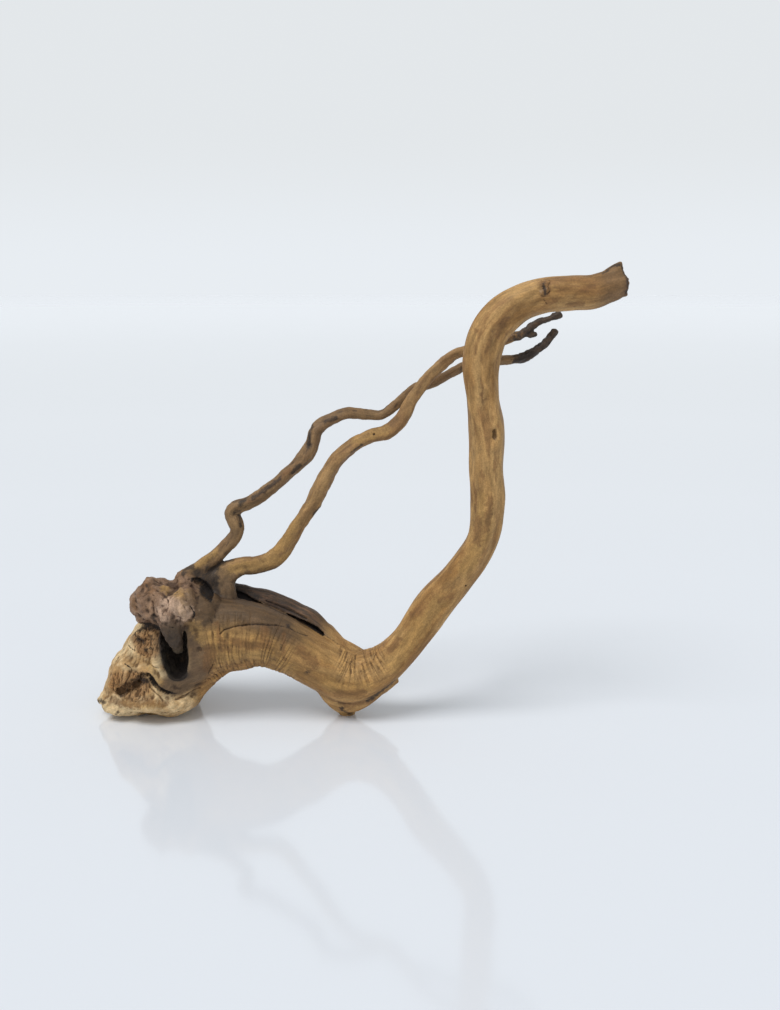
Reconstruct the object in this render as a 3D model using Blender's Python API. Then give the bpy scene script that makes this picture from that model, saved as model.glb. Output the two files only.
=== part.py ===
# Dry root: one weathered piece of wood that stands on its stump and on the
# heel of its trunk. Lengths in the tables are millimetres: X to the right,
# Y away from the viewer, Z up from the floor. The finished solid is moved so
# that its origin is the middle of its footprint.
# Each limb is a list of stations (x, y, z, half_height, half_depth), and a
# smooth skin is carried through them. The limbs and lumps are grown together
# by a voxel remesh, the hollows are cut out, and the base is cut flat.

import math

import bmesh
import bpy
import numpy as np
from mathutils import Euler, Matrix, Vector, noise

MM = 0.001

# Driving dimensions
SKIN_STEP = 3.0  # distance between rings along a limb
FUSE_VOXEL = 1.5  # grain of the remesh that grows the shapes together
HOLLOW_VOXEL = 1.0
KEEP_FACES = 0.07  # share of the fused skin's faces that the solid keeps
RELAX_ROUNDS = 24
SMOOTH_ROUNDS = 2
MIDDLE = (-31.75, 12.75, 0)  # middle of the footprint, where the origin goes
FLOOR_SNAP = 0.3  # points this near the floor are laid on it

WOOD_COLOUR = (0.36, 0.22, 0.105, 1.0)
WOOD_ROUGHNESS = 0.78

# The trunk leaves the stump, arches down to the heel and turns up into the
# long branch, which bends over at the top.
TRUNK = [
    (-178, 8, 52, 34, 32),
    (-147, 4, 67, 33.5, 30),
    (-119, 2, 69.5, 28.5, 27),
    (-97, 0, 66.5, 24.8, 25),
    (-74, -1, 54.5, 21.8, 23),
    (-51, -1, 41, 22, 22),
    (-30, -2, 33.5, 22.5, 20),
    (-7, -4, 43, 16.5, 17),
    (13, -6, 63.5, 13.6, 14.5),
    (33.5, -8, 95, 14.4, 14),
    (53.5, -9, 120.5, 12.9, 13),
    (70.5, -9, 149, 12.2, 12.5),
    (74.5, -8, 178, 13.4, 13),
    (73.5, -7, 205, 13, 12.5),
    (74, -6, 233, 13.6, 13),
    (70.5, -5, 257, 12.3, 12.5),
    (68, -5, 282, 13.6, 13),
    (72.5, -5, 304, 14.3, 13.5),
    (83, -6, 319, 14.6, 13.5),
    (97, -7, 329, 13.7, 13),
    (114, -9, 334.5, 13, 12.5),
    (133, -11, 336, 12.6, 12),
    (147, -13, 336.5, 12.4, 11.5),
    (157, -13, 339.5, 11.8, 11),
    (164, -14, 341.5, 11.5, 10.5),
    (170, -14, 343, 9.8, 9),
]

# A second root grown along the back of the trunk, behind a long groove.
RIDGE = [
    (-148, 20, 88, 15, 12),
    (-132, 23, 93, 13, 11),
    (-115, 23, 93, 11.5, 10),
    (-100, 23, 91, 11, 10),
    (-88, 22, 86.5, 11, 10),
    (-77, 20, 80.5, 11, 10),
    (-66, 17, 73, 11.5, 10.5),
    (-56, 13, 64, 12, 11.5),
    (-44, 7, 50, 15, 13),
    (-30, 2, 41, 16, 15),
]

# The thin rootlet that leaves the left of the stump's top.
ROOTLET_A = [
    (-165, -6, 92, 12, 11),
    (-165, -2, 104, 9.5, 9),
    (-163.5, 2, 112, 8, 8),
    (-156, 6, 117, 7, 7),
    (-147, 9, 123.5, 6.2, 6.2),
    (-138, 12, 130.5, 5.7, 5.8),
    (-130.5, 13, 138, 5.5, 5.5),
    (-124, 15, 144.5, 5.4, 5.4),
    (-121.5, 16, 151, 5.4, 5.4),
    (-123, 16, 157.5, 6, 5.8),
    (-125.5, 17, 164, 6, 5.8),
    (-122, 17, 168.5, 5.8, 5.6),
    (-113, 18, 172, 5.8, 5.6),
    (-103, 19, 177, 6, 5.6),
    (-88.5, 20, 188.5, 5.2, 5.2),
    (-74, 22, 201, 5.3, 5.2),
    (-65.5, 23, 210, 6.2, 5.8),
    (-60.5, 24, 220, 5.4, 5.2),
    (-57.5, 26, 230, 5.6, 5.4),
    (-44, 30, 238, 4.6, 4.6),
    (-32, 33, 241.5, 4.6, 4.6),
    (-17, 36, 239.5, 4.1, 4),
    (-8, 37, 239, 4, 4),
    (-1, 38, 243, 4, 4),
    (8, 39, 250.5, 4.1, 4),
    (16, 40, 257.5, 4.1, 4),
    (21.5, 41, 261, 4.2, 4.2),
    (27.5, 43, 262.5, 4.2, 4.2),
    (36.5, 44, 265.5, 4, 4),
    (44, 44, 269.5, 3.8, 3.9),
    (53, 44, 274.5, 3.7, 3.7),
    (59, 44, 277.5, 3.7, 3.7),
    (73, 43, 280, 3.7, 3.7),
    (89, 42, 282, 3.8, 3.8),
    (99, 41, 283, 3.8, 3.8),
    (104, 40.5, 284, 4.3, 4.2),
    (109, 40, 286, 4.3, 4.2),
    (115, 40, 290, 3.8, 3.8),
    (122, 40, 295.5, 3.6, 3.6),
    (127, 40, 301, 3.5, 3.4),
    (129, 40, 305, 3.3, 3.2),
]

# The thicker rootlet that rises behind the hollow in the stump's top.
ROOTLET_B = [
    (-134, 8, 84, 17, 15),
    (-134, 10, 97, 13.5, 12),
    (-134, 11, 107, 11.5, 10.5),
    (-130, 12, 115.5, 9.8, 9.3),
    (-119.5, 14, 121, 7.7, 7.8),
    (-105, 16, 122.5, 7.1, 7),
    (-92, 18, 127.5, 7.5, 7),
    (-82, 19, 139.5, 6.5, 6.2),
    (-72, 20, 155.5, 5.9, 5.8),
    (-62, 22, 169.5, 6.1, 6),
    (-57.5, 22, 179, 6.6, 6.2),
    (-52.5, 22, 188, 6.4, 6.2),
    (-43.5, 24, 203.5, 5.8, 5.7),
    (-30.5, 24, 216, 5.7, 5.6),
    (-18, 26, 223, 5.4, 5.3),
    (-1, 26, 228, 5.8, 5.6),
    (10, 26, 239, 5.5, 5.4),
    (17, 27, 252, 5.1, 5),
    (28, 28, 268, 4.8, 4.8),
    (36, 28, 276, 4.8, 4.8),
    (43.5, 29, 283, 4.6, 4.6),
    (50.5, 30, 288, 4.2, 4.3),
    (58, 30, 290.5, 4.2, 4.3),
    (70, 31, 293, 4.2, 4.2),
    (84, 32, 297, 4.1, 4.1),
    (95, 33, 301, 4, 4),
    (101, 33, 302.5, 3.8, 3.8),
    (107, 34, 305.5, 3.7, 3.7),
    (113, 35, 311, 3, 3),
    (120, 35, 313.5, 2.8, 2.8),
    (127, 35, 316, 3.1, 3),
    (131.5, 35, 318, 3.4, 3.3),
]

STUB_B = [
    (104, 33, 304, 3.6, 3.6),
    (110, 34, 302.5, 2.9, 2.9),
    (114, 34, 302.5, 2.2, 2.2),
]

# The upper corner of the broken branch end.
TIP_HORN = [
    (161, -13, 343, 10, 9),
    (163.5, -13, 350, 7.4, 7.5),
    (165, -13, 355, 3.8, 4.6),
    (165.5, -13, 357.3, 1.4, 2.4),
]

# The tongue of wood that hangs from the knot into the pit below it.
TONGUE = [
    (-172, -21, 92, 14, 12),
    (-171, -24, 84, 11.5, 11),
    (-168.5, -25, 76, 7.5, 8),
    (-166, -23, 68.5, 5.3, 6),
    (-164, -19, 62, 4.3, 5),
    (-163, -14, 57, 3.6, 4),
]

# The buttress at the back of the stump, which widens its stance.
BUTTRESS = [
    (-166, 16, 70, 26, 20),
    (-172, 26, 48, 27, 22),
    (-180, 34, 28, 26, 23),
    (-186, 38, 10, 24, 20),
    (-188, 39, 0, 21, 17),
]

# The heel under the trunk's lowest bend, with a flake of bark behind it.
HEEL = [
    (-42, 1, 28, 19, 15),
    (-38, 3, 14, 13.5, 12),
    (-35, 4, 5, 9, 9),
    (-35, 4, 0, 7, 7),
]

HEEL_FLAKE = [
    (-27, 1, 12.5, 5, 9),
    (-14, 1, 17.5, 3.6, 8),
    (-2, 1, 25, 2.6, 6),
    (6, 1, 30.5, 1.6, 3.5),
]

# The stump: (centre, half sizes, turn about Y in degrees, roughness).
STUMP_LUMPS = [
    ((-178, 12, 36), (40, 34, 38), 0, 3.0),
    ((-206, 9, 21), (27, 27, 23), -12, 3.0),
    ((-192, 8, 51), (41, 26, 21.5), -59, 2.0),
    ((-178, 6, 17), (31, 25, 17), 4, 2.6),
    ((-164, 12, 72), (28, 30, 28), 0, 2.0),
    ((-176, -2, 98), (25, 26, 20), 14, 2.4),
    ((-197, -4, 95), (8.5, 12, 11), 0, 1.6),
    ((-188, -4, 110), (8, 11, 9), 20, 1.6),
    ((-161, -15, 97), (13, 15, 17), 0, 1.8),
    ((-149, 15, 102), (17, 12, 14), 0, 1.4),
    ((-199, 24, 36), (19, 20, 25), -20, 3.0),
    ((-178, 26, 72), (21, 18, 24), 10, 2.6),
    ((-231, 4, 10.5), (7, 6, 3.6), 20, 0.8),
]

# Hollows cut from the fused wood, as limbs of air.
PIT = [
    (-170, -22, 84, 7, 14),
    (-168, -20, 76, 10.5, 20),
    (-166, -18, 65, 12, 22),
    (-165, -18, 54, 11, 21),
    (-165, -18, 44, 8.5, 17),
]

GROOVE = [
    (-134, 12, 104, 4, 6),
    (-123, 14, 102, 4.5, 7),
    (-110, 14.5, 98, 4.2, 7),
    (-97, 14, 93, 3.6, 6.5),
    (-84, 12.5, 86, 3.2, 6),
    (-72, 10, 79.5, 2.8, 5),
    (-60, 7, 74, 2.8, 5),
    (-53, 4, 70, 2, 4),
]

CROWN_HOLLOW = [
    (-155, -2, 118, 4.5, 5),
    (-150, 2, 110, 6.5, 7),
    (-145, 4, 102, 6, 6),
    (-140, 3, 95, 4, 4.5),
    (-136, 1, 90, 3, 3.5),
]

KNOT_CREVICE = [
    (-208, -14, 73, 2.6, 9),
    (-200, -18, 76, 2.8, 9),
    (-191, -22, 79.5, 2.4, 8),
    (-182, -25, 78.5, 2.2, 7),
    (-176, -27, 75, 2, 6),
]

FACE_PIT = [
    (-219, -19, 22, 3.5, 7),
    (-211, -21, 27, 5, 10),
    (-203, -22, 31.5, 6.5, 11),
    (-196, -21, 35.5, 5.5, 10),
    (-191, -20, 38, 3, 6),
]

FACE_CRACK = [
    (-200, -24, 44, 1.6, 7),
    (-192, -25, 41, 2.2, 8),
    (-186, -25, 36, 2.2, 9),
    (-180, -25, 27, 2.2, 9),
    (-173, -25, 22, 2, 9),
    (-165, -23, 21.5, 1.8, 9),
    (-157, -18, 25, 1.5, 7),
    (-150, -14, 30, 1.2, 5),
]


def spline(stations, step):
    """Stations read off a Catmull-Rom curve through the given ones, about step apart."""
    knots = np.array(stations, float)
    padded = np.vstack([2 * knots[0] - knots[1], knots, 2 * knots[-1] - knots[-2]])
    out = []
    for a, b, c, d in zip(padded, padded[1:], padded[2:], padded[3:]):
        count = max(1, round(np.linalg.norm((c - b)[:3]) / step))
        t = (np.arange(count) / count)[:, None]
        out.append(
            0.5 * (2 * b + (c - a) * t + (2 * a - 5 * b + 4 * c - d) * t**2 + (3 * b - a - 3 * c + d) * t**3)
        )
    out.append(knots[-1:])
    return np.vstack(out)


def add_limb(bm, stations, sides=20, step=SKIN_STEP, flute=0.05, twist=0.03, rough=0.0, cap=0.8):
    """A closed skin through the stations: elliptic rings with shallow flutes, and domed ends."""
    path = spline(stations, step)
    tangent = np.gradient(path[:, :3], axis=0)
    tangent /= np.linalg.norm(tangent, axis=1)[:, None]
    rings = []
    for i, (station, along) in enumerate(zip(path, tangent)):
        rings.append((station[:3], along, station[3], station[4], i * step))
    dome = [(math.sin(a), math.cos(a)) for a in np.radians([25, 50, 72])]
    start, end = [], []
    for reach, shrink in dome:
        for ring, sign, caps in ((rings[0], -1, start), (rings[-1], 1, end)):
            centre, along, half_height, half_depth, distance = ring
            centre = centre + sign * along * min(half_height, half_depth) * reach * cap
            caps.append((centre, along, half_height * shrink, half_depth * shrink, distance))
    rings = start[::-1] + rings + end
    rows = []
    for centre, along, half_height, half_depth, distance in rings:
        along = Vector(along)
        deep = (Vector((0, 1, 0)) - along * along.y).normalized()
        high = along.cross(deep)
        row = []
        for k in range(sides):
            angle = 2 * math.pi * k / sides
            swell = 1 + flute * math.cos(3 * angle + twist * distance) + 0.5 * flute * math.cos(
                5 * angle - 1.7 * twist * distance
            )
            point = Vector(centre) + swell * (
                high * half_height * math.cos(angle) + deep * half_depth * math.sin(angle)
            )
            if rough:
                point += noise.noise_vector(point * 0.11) * rough
            row.append(bm.verts.new(point * MM))
        rows.append(row)
    poles = [
        bm.verts.new(Vector(ring[0] + sign * ring[1] * ring[2] * 0.3 * cap) * MM)
        for ring, sign in ((rings[0], -1), (rings[-1], 1))
    ]
    for low, high_row in zip(rows, rows[1:]):
        for k in range(sides):
            n = (k + 1) % sides
            bm.faces.new((low[k], low[n], high_row[n], high_row[k]))
    for k in range(sides):
        n = (k + 1) % sides
        bm.faces.new((poles[0], rows[0][n], rows[0][k]))
        bm.faces.new((poles[1], rows[-1][k], rows[-1][n]))


def add_lump(bm, centre, half_sizes, turn, rough):
    """A knobbly ellipsoid, turned about Y."""
    made = bmesh.ops.create_icosphere(bm, subdivisions=4, radius=1.0)
    place = (
        Matrix.Translation(Vector(centre))
        @ Euler((0, math.radians(turn), 0)).to_matrix().to_4x4()
        @ Matrix.Diagonal((*half_sizes, 1.0))
    )
    for vert in made["verts"]:
        point = place @ vert.co
        outward = (point - Vector(centre)).normalized()
        bumps = noise.fractal(point * 0.06, 0.9, 2.1, 4)
        vert.co = (point + outward * bumps * rough) * MM


def new_object(name, bm):
    bmesh.ops.recalc_face_normals(bm, faces=bm.faces[:])
    mesh = bpy.data.meshes.new(name)
    bm.to_mesh(mesh)
    bm.free()
    obj = bpy.data.objects.new(name, mesh)
    bpy.context.scene.collection.objects.link(obj)
    return obj


def wood_material():
    material = bpy.data.materials.new("dry_wood")
    material.use_nodes = True
    shader = material.node_tree.nodes["Principled BSDF"]
    shader.inputs["Base Color"].default_value = WOOD_COLOUR
    shader.inputs["Roughness"].default_value = WOOD_ROUGHNESS
    shader.inputs["Metallic"].default_value = 0.0
    return material


def helper(obj):
    """A cutter: drawn as wire, and left out of the model."""
    obj.hide_render = True
    obj.display_type = "WIRE"
    return obj


def fuse(obj, voxel):
    remesh = obj.modifiers.new("Grow together", "REMESH")
    remesh.mode = "VOXEL"
    remesh.voxel_size = voxel * MM
    remesh.adaptivity = 0.0


def cut(obj, cutter):
    boolean = obj.modifiers.new("Cut " + cutter.name, "BOOLEAN")
    boolean.operation = "DIFFERENCE"
    boolean.object = cutter


def make_tongue():
    bm = bmesh.new()
    add_limb(bm, TONGUE, sides=16, step=2.5, flute=0.12)
    return helper(new_object("tongue", bm))


def make_hollows():
    """Everything to be cut away, less the tongue that hangs into the pit."""
    bm = bmesh.new()
    for stations in (PIT, GROOVE, CROWN_HOLLOW, KNOT_CREVICE, FACE_PIT, FACE_CRACK):
        add_limb(bm, stations, sides=14, step=2.0, flute=0.08)
    hollows = helper(new_object("hollows", bm))
    fuse(hollows, HOLLOW_VOXEL)
    cut(hollows, make_tongue())
    return hollows


def relax(mesh, rounds):
    """Taubin smoothing: eases the creases where lumps meet, and keeps the girth of the limbs.

    The thin rootlets are left almost as they are.
    """
    count = len(mesh.vertices)
    points = np.empty(count * 3)
    mesh.vertices.foreach_get("co", points)
    points = points.reshape(-1, 3)
    ends = np.empty(len(mesh.edges) * 2, int)
    mesh.edges.foreach_get("vertices", ends)
    one, two = ends.reshape(-1, 2).T
    share = (np.bincount(one, minlength=count) + np.bincount(two, minlength=count))[:, None]
    stump = np.clip((-130 - points[:, 0] / MM) / 20, 0, 1) * np.clip((128 - points[:, 2] / MM) / 10, 0, 1)
    weight = (0.15 + 0.85 * stump)[:, None]
    for _ in range(rounds):
        for pull in (0.6, -0.62):
            total = np.column_stack(
                [
                    np.bincount(one, points[two, k], count) + np.bincount(two, points[one, k], count)
                    for k in range(3)
                ]
            )
            points = points + pull * weight * (total / share - points)
    mesh.vertices.foreach_set("co", points.ravel())
    mesh.update()


def baked(obj):
    """The object's mesh with its modifiers worked in."""
    bpy.context.view_layer.update()
    depsgraph = bpy.context.evaluated_depsgraph_get()
    return bpy.data.meshes.new_from_object(obj.evaluated_get(depsgraph))


def grow():
    """Every limb and lump, fused into one skin."""
    bm = bmesh.new()
    add_limb(bm, TRUNK, sides=32, cap=0.35)
    add_limb(bm, RIDGE, sides=20, rough=1.5)
    add_limb(bm, ROOTLET_A, sides=14, step=2.5, flute=0.1)
    add_limb(bm, ROOTLET_B, sides=14, step=2.5, flute=0.08)
    add_limb(bm, STUB_B, sides=12, step=2.0)
    add_limb(bm, TIP_HORN, sides=14, step=2.0)
    add_limb(bm, TONGUE, sides=16, step=2.5, flute=0.12)
    add_limb(bm, BUTTRESS, sides=24, rough=3.0)
    add_limb(bm, HEEL, sides=18, rough=1.0)
    add_limb(bm, HEEL_FLAKE, sides=12, step=2.0, rough=1.0)
    for centre, half_sizes, turn, rough in STUMP_LUMPS:
        add_lump(bm, centre, half_sizes, turn, rough)
    grown = new_object("grown", bm)
    fuse(grown, FUSE_VOXEL)
    skin = baked(grown)
    bpy.data.objects.remove(grown, do_unlink=True)
    relax(skin, RELAX_ROUNDS)
    return skin


def make_root():
    root = bpy.data.objects.new("root", grow())
    bpy.context.scene.collection.objects.link(root)
    cut(root, make_hollows())
    fuse(root, FUSE_VOXEL)
    smooth = root.modifiers.new("Weather", "SMOOTH")
    smooth.factor = 0.5
    smooth.iterations = SMOOTH_ROUNDS
    decimate = root.modifiers.new("Thin the faces", "DECIMATE")
    decimate.ratio = KEEP_FACES
    return root


def level_base(root):
    """Keep the finished skin, sliced flat at the floor, with its origin mid-footprint."""
    bm = bmesh.new()
    bm.from_mesh(baked(root))
    for vert in bm.verts:
        if abs(vert.co.z) < FLOOR_SNAP * MM:
            vert.co.z = 0.0
    bmesh.ops.bisect_plane(
        bm,
        geom=bm.verts[:] + bm.edges[:] + bm.faces[:],
        dist=1e-7,
        plane_co=(0, 0, 0),
        plane_no=(0, 0, 1),
        clear_inner=True,
    )
    lying = [face for face in bm.faces if all(vert.co.z < 1e-7 for vert in face.verts)]
    bmesh.ops.delete(bm, geom=lying, context="FACES")
    rim = [edge for edge in bm.edges if edge.is_boundary]
    bmesh.ops.triangle_fill(bm, use_beauty=True, edges=rim, normal=(0, 0, -1))
    loose = [edge for edge in bm.edges if not edge.link_faces]
    bmesh.ops.delete(bm, geom=loose, context="EDGES")
    bmesh.ops.recalc_face_normals(bm, faces=bm.faces[:])
    bmesh.ops.translate(bm, vec=-Vector(MIDDLE) * MM, verts=bm.verts[:])
    mesh = bpy.data.meshes.new("root")
    bm.to_mesh(mesh)
    bm.free()
    root.modifiers.clear()
    root.data = mesh
    mesh.materials.append(wood_material())
    for obj in list(bpy.data.objects):
        if obj is not root:
            bpy.data.objects.remove(obj, do_unlink=True)


for old in list(bpy.data.objects):
    bpy.data.objects.remove(old, do_unlink=True)
level_base(make_root())
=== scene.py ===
import math

import bmesh
import bpy
import numpy as np
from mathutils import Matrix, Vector
from mathutils.bvhtree import BVHTree


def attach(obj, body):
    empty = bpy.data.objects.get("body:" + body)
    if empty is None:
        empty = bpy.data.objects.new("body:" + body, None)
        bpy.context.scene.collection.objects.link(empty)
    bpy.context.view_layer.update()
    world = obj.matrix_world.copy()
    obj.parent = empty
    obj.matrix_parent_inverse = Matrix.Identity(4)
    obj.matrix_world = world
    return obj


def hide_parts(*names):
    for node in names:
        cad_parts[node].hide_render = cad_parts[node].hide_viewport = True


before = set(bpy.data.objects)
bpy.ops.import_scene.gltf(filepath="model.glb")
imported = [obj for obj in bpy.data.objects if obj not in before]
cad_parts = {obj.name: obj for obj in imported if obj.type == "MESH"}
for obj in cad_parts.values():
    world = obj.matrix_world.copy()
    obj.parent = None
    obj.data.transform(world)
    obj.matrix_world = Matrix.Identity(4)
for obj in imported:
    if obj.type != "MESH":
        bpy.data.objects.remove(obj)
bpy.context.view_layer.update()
print("frame loaded")

# Everything below is in millimetres, measured from the floor point under the
# middle of the photo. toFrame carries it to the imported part's own origin.
mm = 0.001
toFrame = np.array([31.75, -12.75, 0.0])

camera = {
    "height": 353.0,
    "distance": 820.0,
    "pitch": 12.3,  # degrees below level
    "focal": 1084.0,  # in pixels of the 780 x 1010 frame
    "middle": (390.0, 505.0),
    "frameHeight": 1010.0,
    "sensor": 36.0,
    "nearest": 0.01,
}

# Limbs: x, y, z, half height, half depth
limbs = {}
limbs["trunk"] = {
    "sides": 40,
    "cap": 0.35,
    "stations": [
        (-178, 8, 52, 34, 32), (-147, 4, 67, 33.5, 30), (-119, 2, 69.5, 28.5, 27),
        (-97, 0, 67.6, 23.6, 25), (-74, -1, 56, 20.4, 23), (-51, -1, 42, 21, 22),
        (-30, -2, 33.5, 22.5, 20), (-7, -4, 43, 16.5, 17), (13, -6, 63.5, 13.6, 14.5),
        (33.5, -8, 95, 14.4, 14), (53.5, -9, 120.5, 12.9, 13), (70.5, -9, 149, 12.2, 12.5),
        (74.5, -8, 178, 13.4, 13), (73.5, -7, 205, 13, 12.5), (74, -6, 233, 13.6, 13),
        (70.5, -5, 257, 12.3, 12.5), (68, -5, 282, 13.6, 13), (72.5, -5, 304, 14.3, 13.5),
        (83, -6, 319, 14.6, 13.5), (97, -7, 329, 13.7, 13), (114, -9, 334.5, 13, 12.5),
        (133, -11, 336, 12.6, 12), (147, -13, 336.5, 12.4, 11.5), (157, -13, 339.5, 11.8, 11),
        (164, -14, 341.5, 11.5, 10.5), (170, -14, 343, 9.8, 9),
    ],
}
limbs["ridge"] = {
    "sides": 24,
    "rough": 0.7,
    "stations": [
        (-148, 20, 86.5, 15, 12), (-132, 23, 91.5, 13, 11), (-115, 23, 90.5, 11.5, 10),
        (-100, 23, 87.5, 11, 10), (-88, 22, 83.5, 11, 10), (-77, 20, 79, 11, 10),
        (-66, 17, 73.5, 11.5, 10.5), (-56, 13, 64, 12, 11.5), (-44, 7, 50, 15, 13),
        (-30, 2, 41, 16, 15),
    ],
}
limbs["leftRootlet"] = {
    "sides": 20,
    "flute": 0.1,
    "stations": [
        (-165, -6, 92, 12, 11), (-165, -2, 104, 9.5, 9), (-163.5, 2, 112, 8, 8), (-156, 6, 117, 7, 7),
        (-147, 9, 123.5, 6.2, 6.2), (-138, 12, 130.5, 5.7, 5.8), (-130.5, 13, 138, 5.5, 5.5),
        (-124, 15, 144.5, 5.4, 5.4), (-121.5, 16, 151, 5.4, 5.4), (-123, 16, 157.5, 6, 5.8),
        (-125.5, 17, 164, 6, 5.8), (-122, 17, 168.5, 5.8, 5.6), (-113, 18, 172, 5.4, 5.3),
        (-103, 19, 177, 5.4, 5.3), (-88.5, 20, 188.5, 4.9, 5), (-74, 22, 201, 5, 5),
        (-65.5, 23, 210, 6.2, 5.8), (-60.5, 24, 220, 5.4, 5.2), (-57.5, 26, 230, 5.6, 5.4),
        (-44, 30, 238, 4.6, 4.6), (-32, 33, 241.5, 4.6, 4.6), (-17, 36, 239.5, 4.1, 4),
        (-8, 37, 239, 4, 4), (-1, 38, 243, 4, 4), (8, 39, 250.5, 4.1, 4), (16, 40, 257.5, 4.1, 4),
        (21.5, 41, 261, 4.2, 4.2), (27.5, 43, 262.5, 4.2, 4.2), (36.5, 44, 265.5, 4, 4),
        (44, 44, 269.5, 3.8, 3.9), (53, 44, 274.5, 3.7, 3.7), (59, 44, 277.5, 3.7, 3.7),
        (73, 43, 280, 3.7, 3.7), (89, 42, 282, 3.8, 3.8), (99, 41, 283, 3.8, 3.8),
        (104, 40.5, 284, 4.3, 4.2), (109, 40, 286, 4.3, 4.2), (115, 40, 290, 3.8, 3.8),
        (122, 40, 295.5, 3.6, 3.6), (127, 40, 301, 3.5, 3.4), (129, 40, 305, 3.3, 3.2),
    ],
}
limbs["rightRootlet"] = {
    "sides": 20,
    "flute": 0.08,
    "stations": [
        (-134, 8, 84, 17, 15), (-134, 10, 97, 13.5, 12), (-134, 11, 107, 11.5, 10.5),
        (-130, 12, 115.5, 9.8, 9.3), (-119.5, 14, 121, 7.7, 7.8), (-105, 16, 122.5, 7.1, 7),
        (-92, 18, 127.5, 7.5, 7), (-82, 19, 139.5, 6.5, 6.2), (-72, 20, 155.5, 5.9, 5.8),
        (-62, 22, 169.5, 6.1, 6), (-57.5, 22, 179, 6.6, 6.2), (-52.5, 22, 188, 6.4, 6.2),
        (-43.5, 24, 203.5, 5.8, 5.7), (-30.5, 24, 216, 5.7, 5.6), (-18, 26, 223, 5.4, 5.3),
        (-1, 26, 228, 5.8, 5.6), (10, 26, 239, 5.5, 5.4), (17, 27, 252, 5.1, 5),
        (28, 28, 268, 4.8, 4.8), (36, 28, 276, 4.8, 4.8), (43.5, 29, 283, 4.6, 4.6),
        (50.5, 30, 288, 4.2, 4.3), (58, 30, 290.5, 4.2, 4.3), (70, 31, 293, 4.2, 4.2),
        (84, 32, 297, 4.1, 4.1), (95, 33, 301, 4, 4), (101, 33, 302.5, 3.8, 3.8),
        (107, 34, 305.5, 3.7, 3.7), (113, 35, 311, 3, 3), (120, 35, 313.5, 2.8, 2.8),
        (127, 35, 316, 3.1, 3), (131.5, 35, 318, 3.4, 3.3),
    ],
}
limbs["sideStub"] = {
    "sides": 14,
    "stations": [(104, 33, 304, 3.6, 3.6), (110, 34, 302.5, 2.9, 2.9), (114, 34, 302.5, 2.2, 2.2)],
}
limbs["brokenHorn"] = {
    "sides": 20,
    "stations": [
        (161, -13, 343, 10, 9), (164, -13, 350, 6.8, 7.5), (166.5, -13, 355, 3.4, 4.6),
        (167.5, -13, 357.3, 1.3, 2.4),
    ],
}
limbs["tongue"] = {
    "sides": 20,
    "flute": 0.12,
    "stations": [
        (-169.5, -20, 92, 12, 12), (-168.5, -23, 84, 9.5, 10.5), (-167.5, -23.5, 78, 7, 8),
        (-166.3, -21.5, 72, 5.4, 6.5), (-165.4, -18, 66, 4.1, 5), (-164.8, -14, 60.5, 3, 3.5),
    ],
}
limbs["buttress"] = {
    "sides": 28,
    "rough": 3.0,
    "stations": [
        (-166, 16, 70, 26, 20), (-172, 26, 48, 27, 22), (-180, 34, 28, 26, 23), (-186, 38, 10, 24, 20),
        (-188, 39, 0, 21, 17),
    ],
}
limbs["heel"] = {
    "sides": 26,
    "rough": 1.0,
    "stations": [(-40, 1, 28, 20, 17), (-37.5, 3, 15, 15.5, 14), (-35.5, 4, 6, 9, 9), (-34.5, 4, 0, 5, 5)],
}
limbs["sole"] = {
    "sides": 20,
    "stations": [
        (-46, 1, 20, 10, 12), (-33, 1, 14.5, 10, 14), (-23, 0, 19, 10, 15), (-14, -1, 25.5, 9.5, 14),
        (-6, -2, 31, 8, 12),
    ],
}
limbs["web"] = {
    "sides": 20,
    "stations": [(-161, 3, 108, 8, 8), (-152, 6, 110, 9, 8), (-143, 9, 111, 10, 8), (-134, 11, 108, 12, 10)],
}
limbs["fillet"] = {
    "sides": 20,
    "stations": [
        (-110, 0, 52, 7, 10), (-119, 1, 49.5, 7, 12), (-129.5, 2, 44.8, 6.5, 14),
        (-138.5, 3, 38, 6.5, 15), (-148, 4, 29, 6.5, 15), (-155, 5, 20.5, 6.5, 14),
        (-160, 6, 12, 6, 12),
    ],
}
limbs["barkFlake"] = {
    "sides": 14,
    "rough": 1.0,
    "stations": [(-27, 1, 12.5, 5, 9), (-14, 1, 17.5, 3.6, 8), (-2, 1, 25, 2.6, 6), (6, 1, 30.5, 1.6, 3.5)],
}

# Lumps of the stump: centre, half sizes, turn about Y in degrees, roughness
stump = {
    "rows": 28,
    "lumps": [
        ((-182, 12, 38), (38, 34, 38), 0, 2.0), ((-206, 9, 19.5), (26.5, 27, 19.5), -12, 1.6),
        ((-192, 8, 51), (41, 26, 21.5), -59, 1.6), ((-186, 6, 17), (31, 25, 17), 4, 2.0),
        ((-164, 12, 72), (28, 30, 28), 0, 2.0), ((-177, -2, 96.5), (25, 26, 18), 13, 1.8),
        ((-197, -4, 96), (8.5, 12, 10.5), 0, 1.2), ((-188, -5, 111.5), (6, 8, 7), 8, 0.8),
        ((-192.5, -2, 85), (8, 14, 6.5), 0, 0.8), ((-161, -15, 97), (13, 15, 17), 0, 1.8),
        ((-149, 15, 102), (17, 12, 14), 0, 1.4), ((-199, 24, 36), (19, 20, 25), -20, 3.0),
        ((-178, 26, 72), (21, 18, 24), 10, 2.6), ((-231, 4, 10.5), (6.5, 5, 2.6), 24, 0.6),
        ((-209.5, 4, 38.5), (27, 22, 14.5), -59, 1.2), ((-217, 3, 12), (17.5, 20, 10), 12, 1.2),
        ((-186, -2, 17), (34, 22, 11), 0, 1.6), ((-150, -7, 90), (19, 18, 18), 0, 1.2),
    ],
}

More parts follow.
